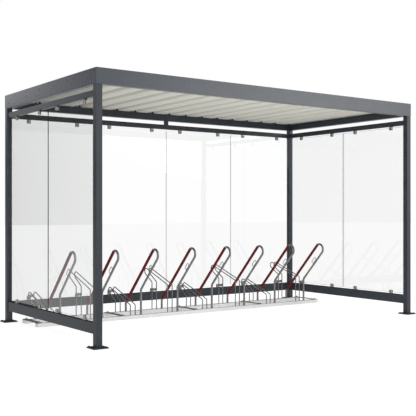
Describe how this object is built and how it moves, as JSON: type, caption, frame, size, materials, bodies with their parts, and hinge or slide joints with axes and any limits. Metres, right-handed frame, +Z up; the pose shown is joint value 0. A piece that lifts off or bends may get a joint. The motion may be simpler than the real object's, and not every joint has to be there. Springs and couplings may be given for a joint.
{
  "type": "bike shelter",
  "caption": "Open-fronted bike shelter: anthracite square-tube frame, flat ribbed-sheet roof behind a deep fascia, clamped glass side and rear walls, and a galvanised rack with leaning hoops.",
  "frame": {"origin": "on the ground, under the middle of the roof in plan", "axes": "+X along the shelter to the right seen from the open front, +Y towards the rear glass wall, +Z up"},
  "size_m": [4.186, 2.211, 2.45],
  "materials": {
    "frame_paint": "satin anthracite powder coat",
    "fascia_paint": "satin anthracite coil coating",
    "roof_coating": "cream-grey coil coating",
    "glass": "clear toughened glass",
    "clamp_steel": "ground stainless steel",
    "zinc": "hot-dip galvanised"
  },
  "bodies": {
    "root": {"front_left_post": "frame_paint", "front_right_post": "frame_paint", "rear_left_post": "frame_paint", "rear_right_post": "frame_paint", "front_roof_beam": "frame_paint", "rear_roof_beam": "frame_paint", "left_roof_beam": "frame_paint", "right_roof_beam": "frame_paint", "front_fascia": "fascia_paint", "rear_fascia": "fascia_paint", "left_fascia": "fascia_paint", "right_fascia": "fascia_paint", "roof_sheet_1": "roof_coating", "roof_sheet_2": "roof_coating", "roof_sheet_3": "roof_coating", "roof_sheet_4": "roof_coating", "rear_upper_rail": "frame_paint", "left_upper_rail": "frame_paint", "right_upper_rail": "frame_paint", "rear_rail_hanger": "frame_paint", "rear_lower_rail": "frame_paint", "left_lower_rail": "frame_paint", "right_lower_rail": "frame_paint", "rear_glass_1": "glass", "rear_glass_2": "glass", "rear_glass_3": "glass", "rear_glass_4": "glass", "left_glass_front": "glass", "left_glass_rear": "glass", "right_glass_front": "glass", "right_glass_rear": "glass", "rear_glass_clamps": "clamp_steel", "left_glass_clamps": "clamp_steel", "right_glass_clamps": "clamp_steel", "rack_front_rail": "zinc", "rack_rear_rail": "zinc", "rack_cross_bars": "zinc", "rack_hoops_1": "zinc", "rack_hoops_2": "zinc", "rack_hoops_3": "zinc", "rack_hoops_4": "zinc", "wheel_holders_1": "zinc", "wheel_holders_2": "zinc", "wheel_holders_3": "zinc", "wheel_holders_4": "zinc"}
  },
  "joints": []
}
